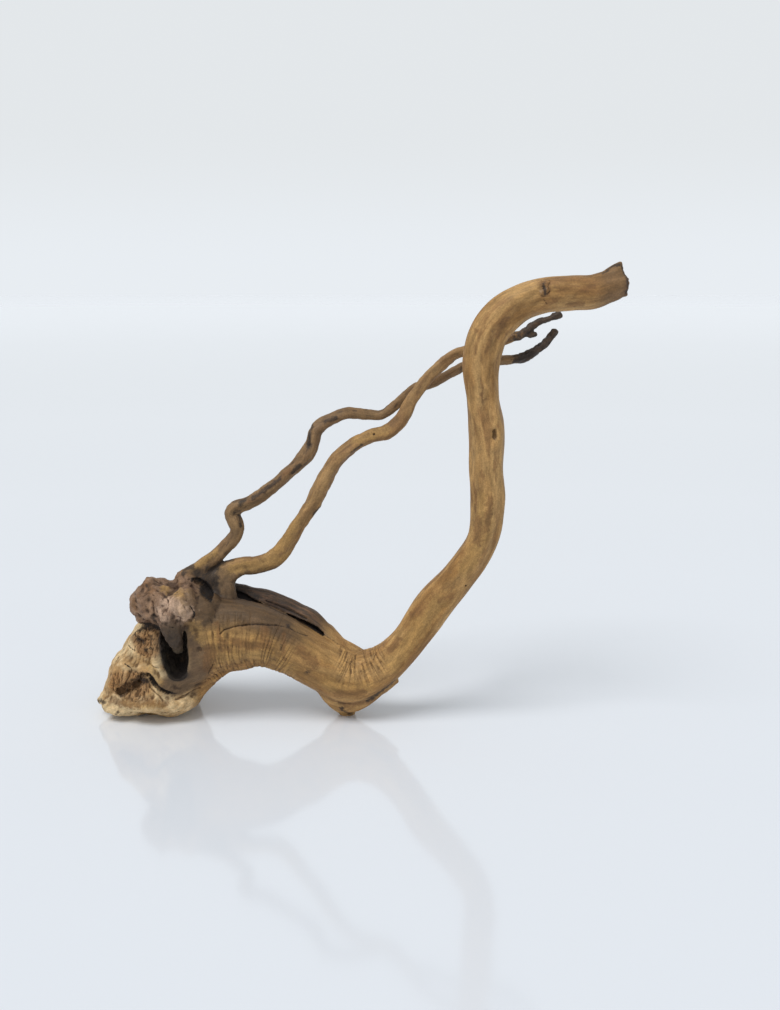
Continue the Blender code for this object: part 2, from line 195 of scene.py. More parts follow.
# Hollows cut from the fused wood
hollows = {
    "pit": [
        (-168, -22, 86, 6, 14), (-168.3, -20, 78, 10, 20), (-168, -18, 68, 10.8, 22),
        (-166.8, -18, 56, 10.2, 21), (-165.8, -18, 46, 8, 17),
    ],
    "groove": [
        (-134, 12, 101.5, 3.6, 6), (-127, 12.5, 99.8, 3.8, 6), (-119, 13, 96.8, 2.6, 6),
        (-110, 13.5, 92.6, 1.5, 6), (-102, 13.5, 89.2, 1.1, 5.5), (-89, 12, 84, 1.0, 5),
        (-75, 10.5, 78.8, 1.2, 5), (-66, 9, 75.2, 1.7, 5), (-58.5, 7, 71.2, 2.0, 5.5),
        (-53, 5.5, 67.3, 1.5, 5),
    ],
    "crown": [
        (-154.5, -6, 114.8, 1.8, 7), (-150, -6, 113.2, 3.2, 10), (-146, -7, 110, 3.9, 12),
        (-142, -9, 105.2, 2.9, 12), (-138.5, -10, 101, 1.2, 10),
    ],
    "underKnot": [
        (-206, -12, 75, 2.6, 9), (-199, -16, 77, 4, 11), (-191, -20, 79.5, 4, 11),
        (-183, -23, 79.5, 3, 10), (-175, -26, 78, 2.6, 8),
    ],
    "ragged": [
        (-218, -19, 24.5, 2.2, 6), (-211, -21, 28.5, 3.6, 8), (-203, -22, 32.5, 4.6, 9),
        (-197, -21, 37.5, 4.4, 8), (-192.5, -20, 42, 2.8, 6),
    ],
    "crack": [
        (-193, -23, 43.5, 1.4, 6), (-188.5, -24, 43, 1.8, 7), (-185, -26, 37, 2.4, 9),
        (-181, -26, 32, 2.3, 9), (-175.5, -26, 28.7, 2.0, 9), (-168, -26, 25.6, 1.7, 9),
        (-162, -24, 26.4, 1.4, 8), (-156, -20, 30.2, 1.1, 6),
    ],
}

hollowForm = {"sides": 16, "step": 2.0, "flute": 0.08}
hollowRough = {"ragged": 3.0, "pit": 0.8, "underKnot": 1.2}

build = {
    "limbStep": 2.5,
    "coarseVoxel": 1.1,
    "hollowVoxel": 0.9,
    "fineVoxel": 0.8,
    "relaxRounds": 70,
    "relaxPulls": (0.6, -0.62),  # inwards, then out again, so that nothing shrinks
    "relaxLeast": 0.15,
    "triangles": 190000,
    "fineRounds": 4,
    "wideRounds": 40,
    "farthestMark": 9.0,  # in widths of the mark
    "grainApart": 900,
}


def latticeNoise(points, cell, seed):
    # Gradient noise: each corner of a lattice of this cell size holds a random
    # slope, and the slopes of the eight corners round a point are faded together.
    # Primes spread neighbouring corners over the slopes, and 1.7 brings the sum
    # to about -1 to 1.
    rng = np.random.default_rng(seed)
    slopes = rng.normal(size=(4096, 3))  # enough that no repeat shows
    slopes /= np.linalg.norm(slopes, axis=1)[:, None]
    scaled = points / np.asarray(cell, float)
    corner = np.floor(scaled).astype(np.int64)
    inside = scaled - corner
    fade = inside**3 * (inside * (inside * 6 - 15) + 10)
    total = np.zeros(len(points))
    for dx in (0, 1):
        for dy in (0, 1):
            for dz in (0, 1):
                x, y, z = corner[:, 0] + dx, corner[:, 1] + dy, corner[:, 2] + dz
                slope = slopes[(x * 7919 + y * 104729 + z * 1299709 + seed * 31) % len(slopes)]
                offset = inside - (dx, dy, dz)
                weight = (
                    np.where(dx, fade[:, 0], 1 - fade[:, 0])
                    * np.where(dy, fade[:, 1], 1 - fade[:, 1])
                    * np.where(dz, fade[:, 2], 1 - fade[:, 2])
                )
                total += weight * (slope * offset).sum(1)
    return total * 1.7


def layeredNoise(points, cell, layers, seed):
    # Sum of lattice noises, each half as large and half as strong as the last.
    cell = np.asarray(cell, float)
    return sum(latticeNoise(points, cell / 2**k, seed + k) / 2**k for k in range(layers))


def ease(values, low, high):
    # Smooth step: 0 up to low, 1 from high, an S curve between. Works falling too.
    t = np.clip((values - low) / (high - low), 0, 1)
    return t * t * (3 - 2 * t)


def throughStations(stations, step):
    # Catmull-Rom curve through the stations, read about every step millimetres.
    knots = np.array(stations, float)
    padded = np.vstack([2 * knots[0] - knots[1], knots, 2 * knots[-1] - knots[-2]])
    pieces = []
    for a, b, c, d in zip(padded, padded[1:], padded[2:], padded[3:]):
        count = max(1, round(np.linalg.norm((c - b)[:3]) / step))
        t = (np.arange(count) / count)[:, None]
        straight = 2 * b + (c - a) * t
        pieces.append(0.5 * (straight + (2 * a - 5 * b + 4 * c - d) * t**2 + (3 * b - a - 3 * c + d) * t**3))
    return np.vstack(pieces + [knots[-1:]])


def pathFrame(path):
    # Along is the path's direction, deep is the Y axis made square to it, and
    # high is square to both.
    along = np.gradient(path[:, :3], axis=0)
    along /= np.linalg.norm(along, axis=1)[:, None]
    deep = np.array([0.0, 1.0, 0.0]) - along * along[:, 1:2]
    deep /= np.linalg.norm(deep, axis=1)[:, None]
    return along, np.cross(along, deep), deep


def closedRings(rings, sides):
    # Quads between neighbouring rings of points.
    row = np.arange(rings - 1)[:, None] * sides
    side = np.arange(sides)[None, :]
    after = (side + 1) % sides
    quads = np.stack([row + side, row + after, row + after + sides, row + side + sides], axis=-1)
    return quads.reshape(-1, 4)


def carriedProfile(stations, sides=20, step=build["limbStep"], flute=0.05, twist=0.03, rough=0.0, cap=0.8):
    # An ellipse carried along the path. Its radius swells by flute times the
    # cosines of 3 and 5 times the angle, which twist along the path, and the
    # rings at each end shrink to a point as a dome.
    path = throughStations(stations, step)
    along, high, deep = pathFrame(path)
    distance = np.arange(len(path)) * step
    angles = np.radians([25, 50, 72, 90])  # of the dome's rings
    first, last = [0] * len(angles), [len(path) - 1] * len(angles)
    order = np.array(first + list(range(len(path))) + last)
    shrink = np.concatenate([np.cos(angles[::-1]), np.ones(len(path)), np.cos(angles)])
    reach = np.concatenate([-np.sin(angles[::-1]), np.zeros(len(path)), np.sin(angles)])
    size = path[order, 3:5] * shrink[:, None]
    centre = path[order, :3] + along[order] * (reach * path[order, 3:5].min(1) * cap)[:, None]
    theta = np.arange(sides) * 2 * np.pi / sides
    swing = twist * distance[order][:, None]
    swell = 1 + flute * np.cos(3 * theta + swing) + 0.5 * flute * np.cos(5 * theta - 1.7 * swing)
    points = (
        centre[:, None, :]
        + (swell * np.cos(theta) * size[:, :1])[..., None] * high[order][:, None, :]
        + (swell * np.sin(theta) * size[:, 1:])[..., None] * deep[order][:, None, :]
    ).reshape(-1, 3)
    if rough:
        points += rough * np.column_stack([layeredNoise(points, 12, 2, 40 + k) for k in range(3)])
    return points, closedRings(len(order), sides)


def knobblyLump(centre, halfSizes, turn, rough, rows):
    # A sphere on a grid of latitude and longitude, stretched to the half sizes,
    # turned about Y, then pushed out or in by layered noise.
    latitude = np.linspace(-np.pi / 2, np.pi / 2, rows)
    longitude = np.arange(2 * rows) * np.pi / rows
    cosine = np.cos(latitude)[:, None]
    unit = np.stack(
        [
            cosine * np.cos(longitude),
            cosine * np.sin(longitude),
            np.repeat(np.sin(latitude)[:, None], 2 * rows, axis=1),
        ],
        axis=-1,
    ).reshape(-1, 3)
    angle = math.radians(turn)
    cosTurn, sinTurn = math.cos(angle), math.sin(angle)
    turned = np.array([[cosTurn, 0, sinTurn], [0, 1, 0], [-sinTurn, 0, cosTurn]])
    points = (unit * halfSizes) @ turned.T + centre
    outward = points - centre
    outward /= np.linalg.norm(outward, axis=1)[:, None]
    points += outward * (rough * layeredNoise(points, 16, 3, 70))[:, None]
    return points, closedRings(rows, 2 * rows)


def gather(parts):
    # Several grids of points and faces as one.
    points, faces, start = [], [], 0
    for somePoints, someFaces in parts:
        points.append(somePoints)
        faces.append(someFaces + start)
        start += len(somePoints)
    return np.vstack(points), np.vstack(faces)


def placed(name, data):
    # A new object in the scene.
    obj = bpy.data.objects.new(name, data)
    bpy.context.scene.collection.objects.link(obj)
    return obj


def meshObject(name, points, faces):
    # Points in millimetres and quads, as an object in metres.
    mesh = bpy.data.meshes.new(name)
    mesh.from_pydata((points * mm).tolist(), [], faces.tolist())
    return placed(name, mesh)


def worked(obj):
    # The object's mesh with its modifiers worked in. The object is then removed.
    bpy.context.view_layer.update()
    depsgraph = bpy.context.evaluated_depsgraph_get()
    mesh = bpy.data.meshes.new_from_object(obj.evaluated_get(depsgraph))
    bpy.data.objects.remove(obj, do_unlink=True)
    return mesh


def fused(obj, voxel):
    # One skin round all that overlaps, on a grid of this cell in millimetres.
    remesh = obj.modifiers.new("fuse", "REMESH")
    remesh.mode = "VOXEL"
    remesh.voxel_size = voxel * mm
    return obj


def pointsOf(mesh):
    # Vertex places in millimetres.
    values = np.empty(len(mesh.vertices) * 3)
    mesh.vertices.foreach_get("co", values)
    return values.reshape(-1, 3) / mm


def normalsOf(mesh):
    # Unit normal of each vertex.
    values = np.empty(len(mesh.vertices) * 3, np.float32)
    mesh.vertex_normals.foreach_get("vector", values)
    return values.reshape(-1, 3).astype(float)


def putPoints(mesh, points):
    # Moves the vertices to places in millimetres.
    mesh.vertices.foreach_set("co", (points * mm).ravel())
    mesh.update()


def edgeEnds(mesh):
    # The two vertex numbers of every edge.
    ends = np.empty(len(mesh.edges) * 2, np.int32)
    mesh.edges.foreach_get("vertices", ends)
    return ends.reshape(-1, 2).T


def neighbourMean(mesh):
    # Gives a function: the sum over each vertex's neighbours, over their number.
    count = len(mesh.vertices)
    one, two = edgeEnds(mesh)
    share = np.bincount(one, minlength=count) + np.bincount(two, minlength=count)

    def mean(values):
        # Column by column.
        columns = [
            (np.bincount(one, values[two, k], count) + np.bincount(two, values[one, k], count)) / share
            for k in range(values.shape[1])
        ]
        return np.column_stack(columns)

    return mean


def relax(mesh, rounds):
    # Taubin smoothing: each point is pulled to its neighbours' mean and back. It is
    # strong on the stump and the heel, where lumps meet in creases, and weak elsewhere.
    mean = neighbourMean(mesh)
    points = pointsOf(mesh)
    x, y, z = points.T
    onStump = ease(x, -130, -150) * ease(z, 128, 118)
    onHeel = ease(np.abs(x + 28), 40, 28) * ease(z, 42, 30)
    least = build["relaxLeast"]
    weight = (least + (1 - least) * np.maximum(onStump, onHeel))[:, None]
    for _ in range(rounds):
        for pull in build["relaxPulls"]:
            points = points + pull * weight * (mean(points) - points)
    putPoints(mesh, points)


def rawWood():
    # All limbs and lumps fused into one skin, with its creases relaxed.
    parts = [carriedProfile(**limb) for limb in limbs.values()]
    parts += [knobblyLump(*map(np.array, lump[:2]), *lump[2:], stump["rows"]) for lump in stump["lumps"]]
    mesh = worked(fused(meshObject("grown", *gather(parts)), build["coarseVoxel"]))
    relax(mesh, build["relaxRounds"])
    print("limbs and lumps fused:", len(mesh.vertices), "points")
    return placed("hewn", mesh)


def cut(obj, cutter):
    # Takes the cutter's body away from the object.
    boolean = obj.modifiers.new("cut", "BOOLEAN")
    boolean.operation = "DIFFERENCE"
    boolean.object = cutter


def hewnWood():
    # Wood less air, where the air is all hollows less the tongue that stands in them.
    wood = rawWood()
    tongueKept = fused(meshObject("tongueKept", *carriedProfile(**limbs["tongue"])), build["hollowVoxel"])
    air = [
        carriedProfile(path, rough=hollowRough.get(name, 0.0), **hollowForm)
        for name, path in hollows.items()
    ]
    air = fused(meshObject("air", *gather(air)), build["hollowVoxel"])
    cut(air, tongueKept)
    fused(air, build["fineVoxel"])
    air = placed("air", worked(air))
    cut(wood, air)
    fused(wood, build["fineVoxel"])
    mesh = worked(wood)
    for helper in (air, tongueKept):
        bpy.data.objects.remove(helper, do_unlink=True)
    print("hollows cut:", len(mesh.vertices), "points")
    return mesh


def limbTable():
    # One row for each step along the four long limbs: place and half sizes, the
    # three ways of its frame, the distance gone from the start and the limb's number.
    rows = []
    for index, name in enumerate(("trunk", "ridge", "leftRootlet", "rightRootlet")):
        path = throughStations(limbs[name]["stations"], build["limbStep"])
        along, high, deep = pathFrame(path)
        gone = np.concatenate([[0], np.cumsum(np.linalg.norm(np.diff(path[:, :3], axis=0), axis=1))])
        rows.append(np.column_stack([path, along, high, deep, gone, np.full(len(path), index)]))
    return np.vstack(rows)


def squaredDistances(points, places):
    # From each point to each place: the two squared lengths less twice their product.
    return (points**2).sum(1)[:, None] - 2 * points @ places.T + (places**2).sum(1)


def alongLimbs(points):
    # For each point: the station whose skin it is nearest to, and its place in
    # that station's frame, along, high and deep.
    table = limbTable()
    size = table[:, 3:5].mean(1)
    nearest = np.empty(len(points), int)
    batch = 16384  # points at a time, to spare memory
    for start in range(0, len(points), batch):
        square = squaredDistances(points[start : start + batch], table[:, :3])
        nearest[start : start + batch] = (np.sqrt(np.maximum(square, 0)) - size).argmin(1)
    row = table[nearest]
    offset = points - row[:, :3]
    return {
        "along": (offset * row[:, 5:8]).sum(1) + row[:, 14],
        "high": (offset * row[:, 8:11]).sum(1),
        "deep": (offset * row[:, 11:14]).sum(1),
        "limb": row[:, 15].astype(int),
    }


def insideHollow(points, stations):
    # How deep in a limb of air: 1 on its axis, 0 on its skin, below 0 outside.
    path = throughStations(stations, hollowForm["step"])
    along, high, deep = pathFrame(path)
    near = squaredDistances(points, path[:, :3]).argmin(1)
    offset = points - path[near, :3]
    across = (offset * high[near]).sum(1) / path[near, 3]
    into = (offset * deep[near]).sum(1) / path[near, 4]
    beyond = (offset * along[near]).sum(1) / path[near, 3]
    return 1 - np.sqrt(across**2 + into**2 + beyond**2)


# Marks are traced from the photo in pixels and laid on the wood by a ray from the camera
marks = {
    "cracks": [  # width, depth, path
        (0.7, 1.3, [(220, 634), (224, 630), (230, 628), (237, 626), (246, 625)]),
        (0.7, 1.3, [(246, 625), (256, 624), (267, 625), (277, 625)]),
        (0.5, 0.4, [(277, 625), (291, 629), (299, 633), (308, 636)]),
        (0.9, 1.2, [(176, 699), (182, 697), (188, 694)]),
        (0.7, 1.0, [(188, 694), (194, 690), (200, 688)]),
        (0.7, 1.0, [(149, 687), (154, 692), (160, 697), (163, 701)]),
        (0.6, 0.8, [(120, 692), (129, 686), (137, 684)]),
        (0.5, 0.7, [(205, 680), (209, 672), (213, 665)]),
        (1.0, 1.6, [(150, 600), (152, 608), (153, 617)]),
        (0.6, 0.8, [(190, 606), (195, 614), (191, 621)]),
        (0.5, 0.6, [(159, 622), (166, 626), (174, 628)]),
        (0.5, 0.5, [(138, 643), (142, 641), (149, 642), (153, 647), (151, 654)]),
        (0.5, 0.5, [(151, 654), (144, 656), (138, 652), (138, 643)]),
        (0.4, 0.6, [(538, 279), (543, 281), (546, 279), (551, 281)]),
        (0.5, 0.8, [(550, 282), (548, 286), (550, 291), (547, 295)]),
        (0.35, 0.5, [(537, 288), (541, 290), (544, 288)]),
        (0.4, 0.6, [(539, 294), (543, 297), (546, 296)]), (0.4, 0.5, [(544, 300), (547, 304)]),
        (2.4, 3.2, [(494.7, 432.2), (495.1, 436.4)]), (0.6, 0.5, [(157, 579), (166, 581), (174, 578)]),
        (0.5, 0.7, [(175, 585), (176, 590), (173, 593)]),
        (0.7, 0.9, [(266, 601), (281, 607), (297, 614), (306, 619)]),
        (0.6, 0.8, [(134, 634), (140, 640), (141, 648)]),
        (0.6, 0.9, [(146, 630), (150, 638), (149, 646)]), (0.6, 0.8, [(128, 645), (134, 651)]),
        (0.5, 0.7, [(166, 597), (170, 604), (167, 611)]),
        (0.5, 0.7, [(183, 606), (187, 612), (194, 614)]),
        (0.6, 0.8, [(140, 596), (146, 592), (153, 594)]),
        (0.5, 0.7, [(125, 664), (131, 668), (133, 675)]),
        (0.5, 0.6, [(150, 664), (157, 668), (165, 667)]),
        (0.45, 0.5, [(373, 660), (377, 651), (380, 646)]),
    ],
    "holes": [  # radius, depth, place
        (1.2, 2.0, (176, 586)), (0.9, 0.8, (466, 586)), (1.0, 0.8, (374, 434)),
    ],
    "dents": [  # radius, depth, path; below zero it swells
        (6.5, 2.6, [(160, 588), (168, 590), (178, 590)]),
        (3.4, 2.6, [(141, 589), (145, 600), (146, 612)]),
        (3.0, 2.8, [(150, 598), (152, 610), (157, 620)]), (7.0, -2.2, [(172, 604), (186, 614)]),
        (4.0, 1.2, [(192, 622), (196, 634), (198, 648)]), (4.0, -1.2, [(147, 648), (148, 650)]),
        (3.6, -1.0, [(287, 626), (288, 627)]), (3.0, 1.0, [(543, 287), (546, 293)]),
        (6.0, 3.0, [(162, 580), (174, 579)]), (5.0, 1.6, [(120, 690), (136, 688)]),
        (1.8, 0.5, [(281, 645), (281, 650)]), (2.2, 1.5, [(309, 428), (308, 436), (308, 444)]),
        (2.2, -1.3, [(306, 461), (311, 463)]), (2.4, -1.0, [(236, 520), (238, 526)]),
        (2.4, -0.9, [(329, 483), (333, 487)]), (2.4, -0.8, [(316, 503), (320, 506)]),
        (2.2, 0.9, [(250, 499), (266, 489), (282, 475)]),
        (5.0, 1.4, [(132, 640), (144, 645), (152, 641)]), (3.2, -1.2, [(494, 446), (494, 448)]),
    ],
}
patches = {  # radius, path
    # partly dark bark and stains, partly painted shade in the crown hollow, between the rootlets and along
    # the groove
    "darkPatch": [
        (2.0, [(240, 516), (240, 526)]), (2.6, [(240, 504), (246, 498)]),
        (2.7, [(252, 498), (262, 491), (270, 486), (279, 478)]),
        (2.9, [(311, 426), (308, 435), (308, 447)]), (2.4, [(306, 461), (312, 464)]),
        (2.2, [(226, 511), (225, 520)]), (2.0, [(300, 465), (292, 473)]),
        (1.8, [(331, 487), (326, 494)]), (1.8, [(319, 507), (314, 514)]),
        (2.0, [(336, 418), (324, 422)]), (4.2, [(196, 572), (205, 579), (213, 590)]),
        (4.4, [(209, 570), (214, 580), (216, 592)]), (2.4, [(150, 602), (153, 612), (155, 622)]),
        (1.6, [(146, 585), (148, 590)]), (1.2, [(171, 592), (175, 594)]),
        (2.6, [(136, 637), (143, 642)]), (1.8, [(151, 636), (150, 648)]),
        (3.0, [(516, 361), (524, 358), (531, 354)]), (3.2, [(183, 572), (188, 568), (192, 566)]),
        (2.4, [(304, 494), (312, 482), (318, 470)]), (5.0, [(200, 577), (209, 572), (217, 567)]),
        (1.6, [(150, 600), (152, 610), (157, 620)]), (1.2, [(543, 283), (546, 296)]),
        (4.0, [(219, 564), (230, 560)]), (1.6, [(604, 273), (611, 267), (617, 264)]),
        (1.5, [(622, 266), (627, 277), (628, 285), (625, 297)]), (1.6, [(352, 452), (362, 445)]),
        (3.0, [(238, 588), (248, 592), (258, 597)]), (2.0, [(262, 604), (280, 612), (296, 620)]),
        (3.0, [(342, 709), (350, 713)]), (2.8, [(368, 700), (380, 692), (393, 682)]),
        (2.2, [(288, 626), (288, 627)]), (1.2, [(281, 645), (281, 650)]),
        (1.6, [(305, 674), (308, 671)]), (2.2, [(98, 701), (104, 702)]),
        (2.0, [(116, 714), (118, 712)]), (2.0, [(617, 265), (620, 264)]),
        (1.6, [(626, 277), (628, 284), (626, 293), (620, 300)]),
        (2.0, [(134, 634), (142, 628), (152, 629)]),
        (3.4, [(120, 694), (132, 688), (140, 682), (146, 680)]), (2.0, [(146, 650), (148, 652)]),
    ],
    "brownPatch": [
        (3.6, [(542, 283), (547, 286), (545, 294)]), (4.2, [(122, 690), (134, 684), (150, 680)]),
        (3.0, [(128, 700), (150, 703), (166, 704)]), (2.0, [(284, 634), (283, 646), (285, 660)]),
        (5.0, [(234, 642), (252, 646), (268, 644)]), (5.0, [(336, 694), (362, 692)]),
        (5.0, [(132, 636), (144, 642), (140, 650)]), (2.4, [(216, 624), (222, 650)]),
        (1.4, [(474, 486), (476, 498), (475, 512)]), (1.3, [(477, 521), (479, 531)]),
        (1.8, [(481, 470), (483, 477)]), (1.1, [(481, 378), (483, 388), (482, 397)]),
        (1.1, [(482, 401), (487, 399)]), (1.6, [(475, 330), (477, 331)]),
        (2.6, [(490, 340), (486, 350)]), (3.4, [(505, 320), (496, 335)]),
        (2.6, [(583, 291), (593, 286)]), (3.2, [(570, 305), (580, 304)]),
        (3.0, [(548, 303), (556, 300)]), (3.6, [(412, 614), (420, 611)]),
        (3.0, [(440, 600), (452, 596)]), (4.0, [(398, 640), (390, 650)]),
        (5.0, [(478, 520), (478, 540)]), (4.0, [(490, 500), (486, 530)]),
        (5.0, [(300, 650), (315, 665)]), (4.0, [(265, 630), (262, 645)]),
        (3.0, [(222, 640), (228, 650)]), (6.0, [(210, 650), (208, 668)]),
        (4.0, [(134, 602), (136, 608)]), (5.0, [(143, 583), (150, 590)]),
        (4.0, [(112, 700), (130, 706), (150, 700)]), (4.5, [(345, 705), (372, 700)]),
        (4.0, [(430, 392), (445, 372)]), (3.0, [(250, 500), (290, 470)]),
    ],
    "goldPatch": [
        (6.5, [(166, 587), (180, 592)]), (3.5, [(174, 580), (181, 590)]),
        (6.0, [(192, 624), (200, 630)]), (7.5, [(196, 628), (203, 638)]),
        (7.0, [(225, 658), (262, 656), (290, 667)]), (8.0, [(330, 685), (350, 692), (365, 688)]),
        (6.0, [(270, 556), (285, 540), (295, 520)]), (7.0, [(480, 500), (486, 530), (465, 570)]),
        (8.0, [(440, 600), (410, 640), (390, 665)]), (5.0, [(355, 440), (385, 430)]),
        (5.0, [(150, 665), (158, 680)]), (4.0, [(125, 703), (140, 705), (160, 706)]),
        (6.0, [(234, 568), (262, 564), (285, 558)]), (4.0, [(194, 567), (214, 553)]),
    ],
    "palePatch": [
        (7.0, [(167, 603), (177, 608), (187, 615)]), (4.6, [(157, 611), (164, 618)]),
        (1.4, [(541, 291), (545, 289)]), (2.0, [(178, 618), (186, 620)]),
    ],
}


def laidOnWood(mesh):
    # Turns a pixel of the photo into the point of the wood that it shows.
    points = pointsOf(mesh)
    faces = np.empty(len(mesh.loops), np.int32)
    mesh.loops.foreach_get("vertex_index", faces)
    tree = BVHTree.FromPolygons(points.tolist(), faces.reshape(len(mesh.polygons), -1).tolist())
    pitch = math.radians(camera["pitch"])
    ahead = Vector((0, math.cos(pitch), -math.sin(pitch)))
    up = Vector((0, math.sin(pitch), math.cos(pitch)))
    eye = Vector((0, -camera["distance"], camera["height"]))

    def lay(pixel):
        # Where the ray through the pixel first meets the wood, or None.
        right = (pixel[0] - camera["middle"][0]) / camera["focal"]
        down = (pixel[1] - camera["middle"][1]) / camera["focal"]
        hit = tree.ray_cast(eye, ahead + Vector((right, 0, 0)) - up * down)[0]
        return None if hit is None else np.array(hit)

    return lay


def distanceToPath(points, path):
    # Shortest distance from each point to a chain of straight pieces.
    best = np.full(len(points), 1e9)
    for a, b in zip(path, path[1:]):
        t = np.clip(((points - a) @ (b - a)) / ((b - a) @ (b - a)), 0, 1)
        best = np.minimum(best, np.linalg.norm(points - a - t[:, None] * (b - a), axis=1))
    return best


def laidMarks(mesh):
    # All marks and patches as paths on the wood, without the pixels that miss it.
    lay = laidOnWood(mesh)

    def layAll(entries):
        # A path needs two points or more.
        laid = [(*entry[:-1], [p for p in map(lay, entry[-1]) if p is not None]) for entry in entries]
        return [entry for entry in laid if len(entry[-1]) > 1]

    holes = [(radius, depth, lay(place)) for radius, depth, place in marks["holes"]]
    return {
        "cracks": layAll(marks["cracks"]),
        "dents": layAll(marks["dents"]),
        "holes": [hole for hole in holes if hole[2] is not None],
        "patches": {name: layAll(entries) for name, entries in patches.items()},
    }


# x and z along the middle of the smooth rim round the pit
smoothRim = np.array([(-151, 82), (-147, 64), (-148, 48), (-156, 36), (-166, 31), (-174, 34)], float)

# x, z and half height of the trunk where it runs level
trunkLevels = np.array([station[0:1] + station[2:4] for station in limbs["trunk"]["stations"][:7]], float).T


def zones(points):
    # Shares from 0 to 1 of each kind of wood at each point. Each ease names where
    # along an axis a zone starts and where it is full.
    x, y, z = points.T
    limb = alongLimbs(points)
    trunkPart = ease(x, -156, -146)
    rootlet = (limb["limb"] >= 2) * ease(z, 100, 108)
    stumpSide = ease(x, -150, -162) * ease(z, 118, 108)
    rim = np.column_stack([smoothRim[:, 0], np.zeros(len(smoothRim)), smoothRim[:, 1]])
    flat = np.column_stack([x, np.zeros(len(x)), z])
    skin = ease(distanceToPath(flat, rim), 11, 5) * ease(y, 20, 5)
    knotBall = ((x + 176) / 30) ** 2 + ((y + 6) / 30) ** 2 + ((z - 98) / 23) ** 2
    knot = ease(knotBall, 1.35, 0.8) * ease(x, -144, -156) * ease(z, 74, 82)
    air = {name: insideHollow(points, path) for name, path in hollows.items()}
    onTongue = ease(insideHollow(points, limbs["tongue"]["stations"]), -0.4, -0.15) * ease(z, 57, 70)
    hollow = np.max([ease(inside, -0.16, -0.02) for inside in air.values()], axis=0) * (1 - onTongue)
    middle, reach = (np.interp(x, *trunkLevels[[0, k]]) for k in (1, 2))
    up = (z - middle) / reach
    upper = ease(np.hypot((x + 189) / 16, (z - 69) / 14), 1.1, 0.7)
    lower = ease(np.hypot((x + 206) / 18, (z - 33) / 12), 1.2, 0.8)
    splinters = np.maximum(upper, lower) * ease(y, 0, -8)
    return {
        "limb": limb,
        "rootlet": rootlet,
        "left": (limb["limb"] == 2) * ease(z, 112, 130),
        "knot": knot,
        "face": stumpSide * (1 - knot) * (1 - skin) * (1 - onTongue),
        "splinters": splinters,
        "back": stumpSide * ease(y, 12, 28) * (1 - knot),
        "hollow": hollow,
        "tongue": onTongue,
        "tongueShade": onTongue * ease(z, 92, 72),
        "raggedHole": ease(air["ragged"], -0.5, 0.0),
        "pitRim": ease(air["pit"], -0.8, -0.1) * ease(z, 34, 42),
        "rimSkin": skin,
        "ridge": (limb["limb"] == 1) * ease(x, -150, -138) * ease(x, -40, -60),
        "tip": rootlet * ease(x, 84, 108),
        "end": ease(x, 167, 172) * ease(z, 320, 326),
        "endShade": ease(x, 138, 166) * ease(z, 318, 326),
        "trunkTop": ease(x, -48, -90) * ease(x, -168, -150) * ease(up, 0.05, 0.85) * ease(z, 130, 112),
        "shade": trunkPart * ease(x, 10, -120) * ease(z, 125, 115) * ease(limb["high"], -22, 4),
    }


# Layers of the relief: strength in millimetres, cell size, number of noises, seed
reliefLayers = {
    "swells": (0.5, (55, 11, 11), 1, 1),
    "waves": (0.28, (18, 6, 6), 1, 2),
    "threads": (0.1, (14, 2.2, 2.2), 2, 3),
    "knobs": (0.5, (9, 7, 7), 1, 4),
    "warts": (0.28, (4, 4, 4), 1, 5),
    "tip": (0.75, (5, 3.5, 3.5), 2, 6),
    "blocks": (1.1, (19, 12, 12), 3, 20),
    "chips": (0.4, (7, 3, 3), 2, 22),
    "bent": (1.2, (7, 7, 7), 1, 27),
    "shreds": (1.0, (13, 2.7, 2.7), 2, 24),
    "back": (1.1, (42, 7, 7), 2, 46),
    "lumps": (1.1, (13, 13, 11), 3, 30),
    "clefts": (0.95, (8, 8, 6), 2, 33),
    "tongue": (0.9, (4, 4, 9), 3, 36),
    "hollow": (0.6, (6, 6, 6), 2, 38),
    "raggedHole": (1.5, (5, 6, 4), 2, 39),
    "ridge": (0.5, (26, 3.4, 3.4), 2, 41),
    "end": (1.1, (4, 4, 4), 2, 44),
    "wander": (0.4, (2.5, 2.5, 2.5), 1, 50),
}
reliefForm = {
    "foldDepth": 0.5,
    "creaseWidth": 0.34,  # the fold noise below this is crease
    "splinterHeight": 2.2,
    "splinterBase": 0.2,
    "tipBase": 0.3,
    "rootletCalm": 0.5,
    "backCalm": 0.65,
    "fibreUp": (0.2, 0.0, 0.98),
    "fibreAcross": (0.98, 0.0, -0.2),
}


def layer(name, place):
    # One layer of the relief: its strength times its noise.
    strength, cell, layers, seed = reliefLayers[name]
    return strength * layeredNoise(place, cell, layers, seed)


def limbPlace(limb):
    # Place along, up and into the limb, as three columns.
    return np.column_stack([limb["along"], limb["high"], limb["deep"]])


def folds(points, limb):
    # Wrinkles across the trunk: a noise much longer across it than along it, whose
    # zero lines are the creases, and their strength, in patches broken by noise.
    x = points[:, 0]
    place = limbPlace(limb)
    wave = latticeNoise(place, (2.7, 34, 34), 11) + 0.3 * latticeNoise(place, (1.7, 12, 12), 12)
    broken = ease(latticeNoise(place, (13, 22, 22), 13), -0.8, -0.1)
    body = ease(x, -150, -136) * ease(x, -68, -86) * ease(limb["high"], 26, 16)
    bend = ease(x, -46, -36) * ease(x, 2, -8) * ease(limb["high"], -8, 4)
    return wave, broken * np.maximum(body, bend) * (limb["limb"] == 0)


